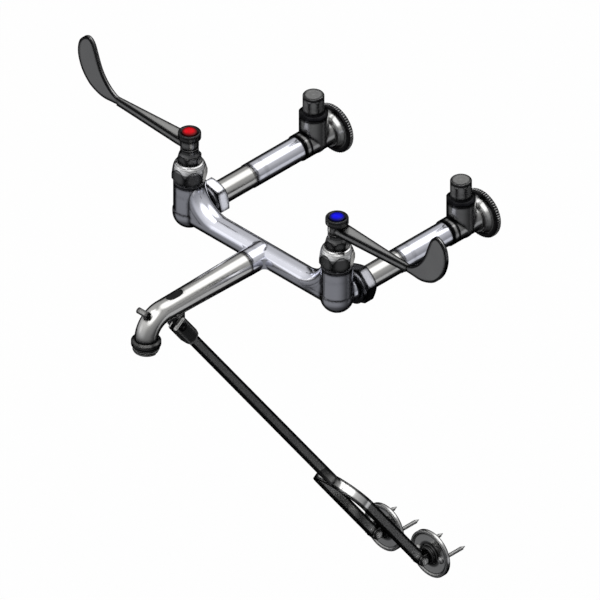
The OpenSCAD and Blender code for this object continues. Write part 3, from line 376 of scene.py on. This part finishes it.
@dataclass(frozen=True)
class SoftBox:
    """A soft card of light or shade in the studio, seen by reflections and by matt surfaces."""

    towards: Point
    inner_deg: float
    outer_deg: float
    strength: float
    high: bool = False

    def glow(self, make: Nodes, direction: Socket, outside: float = 0.0) -> Socket:
        """Adds the card's soft disc.

        Args:
            make: The world's node helper.
            direction: The direction that is looked in.
            outside: The value away from the card.

        Returns:
            The card's strength inside it, fading to the outside value.
        """
        near = make.vector("DOT_PRODUCT", direction, Vector(self.towards).normalized())
        rim, core = (math.cos(math.radians(angle)) for angle in (self.outer_deg, self.inner_deg))
        return make.ramp(near, rim, core, outside, self.strength)


@dataclass
class Studio:
    """Camera, sky, lamp and floor."""

    target: Point = (-0.02289, -0.12699, -0.10410)
    azimuth_deg: float = 45.0
    elevation_deg: float = 35.264
    frame_width: float = 0.58445
    distance: float = 2.4
    clip: tuple[float, float] = (0.01, 50.0)
    floor_z: float = -0.62
    floor_reach: float = 6.0
    floor_greys: tuple[float, float] = (0.84, 0.88)
    floor_mottle: float = 3.0
    floor_pale: float = 0.998
    pale_share: float = 0.93
    backdrop_level: float = 0.99
    lamp_size: float = 1.2
    lamp_energy: float = 5.0
    lamp_place: Point = (-0.5, -0.9, 1.9)
    lamp_target: Point = (0.0, -0.15, -0.1)
    ground_run: tuple[float, float] = (-0.7, 0.6)
    ground_levels: tuple[float, float] = (0.22, 0.03)
    depth_run: tuple[float, float] = (-0.9, -0.6)
    depth_levels: tuple[float, float] = (0.35, 1.0)
    sky_run: tuple[float, float] = (0.0, 0.6)
    sky_levels: tuple[float, float] = (0.32, 0.54)
    horizon: tuple[float, float] = (-0.36, 0.02)
    tint_levels: tuple[float, float] = (-0.2, 0.5)
    low_tint: Colour = (0.96, 0.97, 1.0)
    rim_card: SoftBox = SoftBox((-0.577, 0.577, -0.577), 48, 64, 0.02)
    boxes: tuple[SoftBox, ...] = (
        SoftBox((0.10, 0.577, 0.81), 13, 30, 1.3),
        SoftBox((-0.56, -0.78, 0.29), 12, 75, 0.35, high=True),
        SoftBox((-0.577, -0.80, 0.17), 5, 16, 0.4),
        SoftBox((0.74, 0.577, -0.34), 7, 15, 0.6),
        SoftBox((0.35, -0.35, 0.87), 16, 36, 1.4),
    )

    def build(self) -> None:
        """Sets up the whole studio."""
        self.sky()
        self.floor()
        self.lamps()
        self.camera()
        bpy.context.scene.view_settings.view_transform = "Standard"

    def sky(self) -> None:
        """A pale sky for the camera, and a soft graded studio for reflections."""
        world = bpy.data.worlds.new("studio")
        bpy.context.scene.world = world
        world.use_nodes = True
        make = Nodes(world.node_tree)
        towards = make.add("ShaderNodeTexCoord").outputs["Generated"]
        axes = make.add("ShaderNodeSeparateXYZ", Vector=towards)
        height = axes.outputs["Z"]
        above = make.ramp(height, *self.horizon, 0.0, 1.0)
        ground = make.maths("MULTIPLY",
                            make.ramp(axes.outputs["Y"], *self.ground_run, *self.ground_levels),
                            make.ramp(height, *self.depth_run, *self.depth_levels))
        sky = make.ramp(height, *self.sky_run, *self.sky_levels)
        level = make.maths("MULTIPLY_ADD", above, make.maths("SUBTRACT", sky, ground))
        make.feed(level.node.inputs[2], ground)
        level = make.maths("MULTIPLY", level, self.rim_card.glow(make, towards, outside=1.0))
        for box in self.boxes:
            glow = box.glow(make, towards)
            level = make.maths("ADD", level, make.maths("MULTIPLY", glow, above) if box.high else glow)
        seen = make.add("ShaderNodeLightPath").outputs["Is Camera Ray"]
        raised = make.ramp(height, *self.tint_levels, 0.0, 1.0)
        tint = make.blend(raised, rgba(self.low_tint), rgba((1.0,) * 3))
        studio = make.add("ShaderNodeBackground", Color=tint, Strength=level).outputs[0]
        white = rgba((self.backdrop_level,) * 3)
        backdrop = make.add("ShaderNodeBackground", Color=white, Strength=1.0).outputs[0]
        make.add("ShaderNodeOutputWorld", Surface=make.mix(seen, studio, backdrop))

    def floor(self) -> None:
        """A pale floor that keeps the shadow and reflects as a graded grey."""
        mesh = bpy.data.meshes.new("floor")
        reach = self.floor_reach
        corners = [(-reach, -reach), (reach, -reach), (reach, reach), (-reach, reach)]
        mesh.from_pydata([(x, y, self.floor_z) for x, y in corners], [], [(0, 1, 2, 3)])
        floor = bpy.data.objects.new("floor", mesh)
        bpy.context.collection.objects.link(floor)
        material = bpy.data.materials.new("floor")
        material.use_nodes = True
        make = Nodes(material.node_tree)
        place = make.add("ShaderNodeTexCoord").outputs["Object"]
        mottle = make.noise(place, self.floor_mottle, 2.0)
        grey = make.blend(mottle, *(rgba((level,) * 3) for level in self.floor_greys))
        path = make.add("ShaderNodeLightPath")
        matt = make.add("ShaderNodeBsdfDiffuse", Color=grey).outputs[0]
        pale = make.add("ShaderNodeEmission", Color=rgba((self.floor_pale,) * 3), Strength=1.0).outputs[0]
        seen = make.mix(self.pale_share, matt, pale)
        under = make.add("ShaderNodeBsdfTransparent").outputs[0]
        other = make.mix(path.outputs["Is Glossy Ray"], matt, under)
        top = make.mix(path.outputs["Is Camera Ray"], other, seen)
        behind = make.add("ShaderNodeNewGeometry").outputs["Backfacing"]
        make.add("ShaderNodeOutputMaterial", Surface=make.mix(behind, top, under))
        mesh.materials.append(material)

    def lamps(self) -> None:
        """One broad lamp overhead, for soft shadows and matt pieces."""
        light = bpy.data.lights.new("overhead", "AREA")
        light.shape = "DISK"
        light.size = self.lamp_size
        light.energy = self.lamp_energy
        lamp = bpy.data.objects.new("overhead", light)
        lamp.location = self.lamp_place
        aim = Vector(self.lamp_target) - lamp.location
        lamp.rotation_euler = aim.to_track_quat("-Z", "Y").to_euler()
        bpy.context.collection.objects.link(lamp)

    def camera(self) -> None:
        """The isometric camera of the photograph."""
        data = bpy.data.cameras.new("camera")
        data.type = "ORTHO"
        data.ortho_scale = self.frame_width
        data.clip_start, data.clip_end = self.clip
        camera = bpy.data.objects.new("camera", data)
        a, e = math.radians(self.azimuth_deg), math.radians(self.elevation_deg)
        back = Vector((math.sin(a) * math.cos(e), -math.cos(a) * math.cos(e), math.sin(e)))
        camera.location = Vector(self.target) + back * self.distance
        camera.rotation_euler = (-back).to_track_quat("-Z", "Y").to_euler()
        bpy.context.collection.objects.link(camera)
        bpy.context.scene.camera = camera


@dataclass
class Relief:
    """A repeated surface detail, grown by Geometry Nodes at each of its places and baked to one mesh."""

    name: str
    body: str
    finish: Finish
    slot: str
    places: tuple[Point, ...]

    def inputs(self) -> dict[str, float | int]:
        """The named inputs of the node group, in metres and counts."""
        raise NotImplementedError

    def grow(self, make: Nodes, given: bpy.types.NodeOutputs) -> Socket:
        """Adds the nodes that make one copy of the detail round the origin."""
        raise NotImplementedError

    def build(self) -> bpy.types.Object:
        """Grows the detail, bakes it and hangs it on its body.

        Returns:
            The finished piece.
        """
        tree = bpy.data.node_groups.new(self.name, "GeometryNodeTree")
        tree.interface.new_socket("Geometry", in_out="OUTPUT", socket_type="NodeSocketGeometry")
        tree.interface.new_socket("Places", in_out="INPUT", socket_type="NodeSocketGeometry")
        labels: dict[str, str] = {}
        for label, value in self.inputs().items():
            kind = "NodeSocketInt" if isinstance(value, int) else "NodeSocketFloat"
            labels[label] = tree.interface.new_socket(label, in_out="INPUT", socket_type=kind).identifier
        make = Nodes(tree)
        given = make.add("NodeGroupInput").outputs
        copies = make.add("GeometryNodeInstanceOnPoints", Points=given["Places"],
                          Instance=self.grow(make, given))
        whole = make.add("GeometryNodeRealizeInstances", Geometry=copies.outputs[0])
        done = make.add("GeometryNodeSetMaterial", Geometry=whole.outputs[0],
                        Material=self.finish.material)
        make.add("NodeGroupOutput", Geometry=done.outputs[0])
        seeds = bpy.data.meshes.new(self.name + "_places")
        seeds.from_pydata([tuple(value * MM for value in place) for place in self.places], [], [])
        piece = bpy.data.objects.new(self.name, seeds)
        bpy.context.collection.objects.link(piece)
        modifier = piece.modifiers.new("grow", "NODES")
        modifier.node_group = tree
        for label, value in self.inputs().items():
            modifier[labels[label]] = value
        evaluated = piece.evaluated_get(bpy.context.evaluated_depsgraph_get())
        baked = bpy.data.meshes.new_from_object(evaluated)
        piece.modifiers.clear()
        piece.data = baked
        LOG.info("grew %s with %d faces", self.name, len(baked.polygons))
        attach(piece, self.body)
        return piece


@dataclass
class RimKnurl(Relief):
    """Ribs along Y round the rim of a wall flange."""

    ribs: int = 60
    rim_r: float = 25.3
    rib_r: float = 0.75
    rib_length: float = 3.6

    def inputs(self) -> dict[str, float | int]:
        """Count, radii and length of the ribs."""
        return {"Ribs": self.ribs, "Rim Radius": self.rim_r * MM, "Rib Radius": self.rib_r * MM,
                "Rib Length": self.rib_length * MM}

    def grow(self, make: Nodes, given: bpy.types.NodeOutputs) -> Socket:
        """A ring of round ribs in the XZ plane."""
        turn = (math.pi / 2, 0.0, 0.0)
        ring = make.add("GeometryNodeMeshCircle", Vertices=given["Ribs"], Radius=given["Rim Radius"])
        upright = make.add("GeometryNodeTransform", Geometry=ring.outputs[0], Rotation=turn)
        rib = make.add("GeometryNodeMeshCylinder", Vertices=8, Radius=given["Rib Radius"],
                       Depth=given["Rib Length"])
        laid = make.add("GeometryNodeTransform", Geometry=rib.outputs[0], Rotation=turn)
        ribs = make.add("GeometryNodeInstanceOnPoints", Points=upright.outputs[0],
                        Instance=laid.outputs[0])
        return ribs.outputs[0]


@dataclass
class HelixThread(Relief):
    """A screw thread wound along Z, or along Y when laid over."""

    crest_r: float = 13.46
    bead_r: float = 1.0
    pitch: float = 2.21
    length: float = 5.0
    laid: bool = False

    def inputs(self) -> dict[str, float | int]:
        """Winding radius, bead radius, turns and length."""
        return {"Winding Radius": (self.crest_r - self.bead_r) * MM, "Bead Radius": self.bead_r * MM,
                "Turns": self.length / self.pitch, "Length": self.length * MM}

    def grow(self, make: Nodes, given: bpy.types.NodeOutputs) -> Socket:
        """A bead swept along a spiral."""
        winding = make.add("GeometryNodeCurveSpiral", Resolution=48, Rotations=given["Turns"],
                           Start_Radius=given["Winding Radius"], End_Radius=given["Winding Radius"],
                           Height=given["Length"])
        bead = make.add("GeometryNodeCurvePrimitiveCircle", Resolution=6, Radius=given["Bead Radius"])
        swept = make.add("GeometryNodeCurveToMesh", Curve=winding.outputs[0],
                         Profile_Curve=bead.outputs[0], Fill_Caps=True)
        turn = (-math.pi / 2 if self.laid else 0.0, 0.0, 0.0)
        return make.add("GeometryNodeTransform", Geometry=swept.outputs[0], Rotation=turn).outputs[0]


@dataclass
class Turned:
    """A piece turned from one outline of radius and height, copied to each of its places."""

    name: str
    body: str
    finish: Finish
    slot: str
    outline: tuple[tuple[float, float], ...]
    places: tuple[Point, ...]
    laid: bool = False
    steps: int = 72

    def point(self, radius: float, height: float, angle: float) -> Vector:
        """One point of the turned shape, along Z or along Y when laid over."""
        across, aside = radius * math.cos(angle), radius * math.sin(angle)
        return Vector((across, height, aside) if self.laid else (across, aside, height)) * MM

    def build(self) -> bpy.types.Object:
        """Turns the outline and hangs the piece on its body.

        Returns:
            The finished piece.
        """
        shape = bmesh.new()
        for place in self.places:
            rings = []
            for radius, height in self.outline:
                count = self.steps if radius > 0 else 1
                angles = (math.tau * i / count for i in range(count))
                rings.append([shape.verts.new(Vector(place) * MM + self.point(radius, height, angle))
                              for angle in angles])
            closed = self.outline[0][0] > 0
            for first, second in zip(rings, rings[1:] + (rings[:1] if closed else [])):
                for i in range(self.steps):
                    corners = [first[i % len(first)], first[(i + 1) % len(first)],
                               second[(i + 1) % len(second)], second[i % len(second)]]
                    shape.faces.new(list(dict.fromkeys(corners)))
        bmesh.ops.recalc_face_normals(shape, faces=shape.faces)
        mesh = bpy.data.meshes.new(self.name)
        shape.to_mesh(mesh)
        shape.free()
        mesh.shade_smooth()
        mesh.set_sharp_from_angle(angle=math.radians(30))
        mesh.materials.append(self.finish.material)
        piece = bpy.data.objects.new(self.name, mesh)
        bpy.context.collection.objects.link(piece)
        LOG.info("turned %s with %d faces", self.name, len(mesh.polygons))
        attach(piece, self.body)
        return piece


@dataclass
class Details:
    """The threads and knurls that the CAD leaves plain, in millimetres."""

    rim_middle: float = -2.7
    outlet_top: float = -27.6
    outlet_end: float = -34.6
    outlet_root_r: float = 12.3
    outlet_crest_r: float = 13.46
    outlet_lead: float = 1.1
    outlet_thread: float = 4.2
    bore_r: float = 8.5
    neck_r: float = 10.2
    neck_top: float = -18.9
    screw_x: float = 15.2
    head_y: float = -5.5
    head_r: float = 3.9
    head_cone: float = 1.6
    face_y: float = -3.1
    shank_r: float = 2.8
    shank_end: float = 0.4
    screw_crest_r: float = 2.1
    screw_root_r: float = 1.5
    thread_start: tuple[float, float] = (4.0, 4.6)
    thread_length: float = 21.6
    screw_end: float = 30.5
    tip: float = 4.0
    point_r: float = 0.4
    point: float = 0.3

    def build(self) -> None:
        """Builds every detail piece."""
        self.outlet()
        for side in Side:
            RimKnurl(f"{side.label}_flange_knurl", "faucet", Finish.KNURL, "dark_chrome",
                     ((side.value * SUPPLY_X, self.rim_middle, 0.0),)).build()
            self.screws(side)

    def outlet(self) -> None:
        """The hose outlet with its real thread in place of the plain cylinder."""
        root, crest, lead = self.outlet_root_r, self.outlet_crest_r, self.outlet_lead
        top, end = self.outlet_top, self.outlet_end
        outline = ((self.bore_r, self.neck_top), (self.neck_r, self.neck_top), (self.neck_r, top),
                   (crest, top), (crest, top - lead), (root, top - 2 * lead),
                   (root, end + lead / 2), (root - lead / 2, end), (self.bore_r, end))
        core = Turned("hose_outlet_core", "faucet", Finish.HOSE_END, "nickel", outline,
                      ((0.0, OUTLET_Y, 0.0),)).build()
        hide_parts("hose_outlet")
        HelixThread("hose_outlet_thread", "faucet", Finish.HOSE_END, "nickel",
                    ((0.0, OUTLET_Y, end + lead),), crest_r=crest, length=self.outlet_thread).build()

    def screws(self, side: Side) -> None:
        """Wood screws with real threads in place of the plain ones."""
        head, shank, root, crest = self.head_r, self.shank_r, self.screw_root_r, self.screw_crest_r
        plain, cut = self.thread_start
        outline = ((0.0, self.head_y), (head / 2, self.head_y), (head, self.head_y + self.head_cone),
                   (head, self.face_y), (shank, self.face_y), (shank, self.shank_end),
                   (crest, self.shank_end), (crest, plain), (root, cut),
                   (root, self.screw_end - self.tip), (self.point_r, self.screw_end - self.point),
                   (0.0, self.screw_end))
        places = tuple((side.value * FOOT_X + x, 0.0, FOOT_Z) for x in (-self.screw_x, self.screw_x))
        body = f"{side.label}_brace_foot"
        core = Turned(f"{side.label}_wood_screws", body, Finish.SCREW, "steel", outline, places,
                      laid=True, steps=32).build()
        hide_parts(f"{side.label}_wall_screws")
        starts = tuple((x, cut, z) for x, _, z in places)
        HelixThread(f"{side.label}_wood_threads", body, Finish.SCREW, "steel", starts, crest_r=crest,
                    bead_r=0.42, pitch=1.8, length=self.thread_length, laid=True).build()


@dataclass
class Dresser:
    """Puts finishes on the CAD nodes that keep their shape."""

    nodes: dict[str, bpy.types.Object]
    done: set[str] = field(default_factory=set)

    def dress(self, finish: Finish, *names: str) -> None:
        """Gives CAD nodes a finish.

        Args:
            finish: The finish they get.
            *names: Node names.
        """
        for name in names:
            for slot in self.nodes[name].material_slots:
                slot.material = finish.material
            self.done.add(name)
            LOG.info("dressed %s in %s", name, finish.value.name)

    def dress_pair(self, finish: Finish, *names: str) -> None:
        """Gives the hot and the cold copy of each named piece a finish."""
        for side in Side:
            self.dress(finish, *(f"{side.label}_{name}" for name in names))


def main() -> None:
    """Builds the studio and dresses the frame."""
    logging.basicConfig(level=logging.INFO, format="%(name)s: %(message)s")
    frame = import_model()
    Studio().build()
    dresser = Dresser(frame["nodes"])
    dresser.dress(Finish.CASTING, "valve_body")
    dresser.dress_pair(Finish.CASTING, "arm_sleeve")
    dresser.dress_pair(Finish.NUT, "coupling_nut")
    dresser.dress(Finish.NICKEL, "spout", "hose_outlet")
    dresser.dress_pair(Finish.NICKEL, "supply_tube")
    dresser.dress_pair(Finish.CHROME, "handle")
    dresser.dress_pair(Finish.BONNET, "bonnet")
    dresser.dress_pair(Finish.FOOT, "brace_flange")
    dresser.dress_pair(Finish.FLANGE, "wall_flange")
    dresser.dress_pair(Finish.SHADED, "gland_nut", "stem")
    dresser.dress_pair(Finish.CAP, "stop_cap", "handle_screw")
    dresser.dress_pair(Finish.STOP, "stop_body")
    dresser.dress_pair(Finish.BLACK_CHROME, "stop_bonnet", "wall_screws")
    dresser.dress(Finish.POLISHED, "brace_yoke")
    dresser.dress(Finish.STEEL, "brace_bar")
    dresser.dress(Finish.CLEVIS, "brace_clevis")
    dresser.dress(Finish.BRIGHT, "hinge_bolts", "hinge_nuts")
    dresser.dress(Finish.SHADED, "pivot_bolt", "pivot_nut")
    dresser.dress_pair(Finish.BRASS, "cartridge", "stop_spindle")
    dresser.dress(Finish.RUBBER, "outlet_washer", "bonnet_gaskets", "packing_rings", "seat_seals",
                  "coupling_washers", "stop_bonnet_seals", "hot_stop_washer", "cold_stop_washer")
    dresser.dress(Finish.CERAMIC, "fixed_discs", "hot_turning_disc", "cold_turning_disc")
    dresser.dress(Finish.RED, "hot_index_button")
    dresser.dress(Finish.BLUE, "cold_index_button")
    Details().build()
    left = set(frame["nodes"]) - dresser.done
    if left:
        LOG.warning("nodes without a finish: %s", sorted(left))


if __name__ == "__main__":
    main()
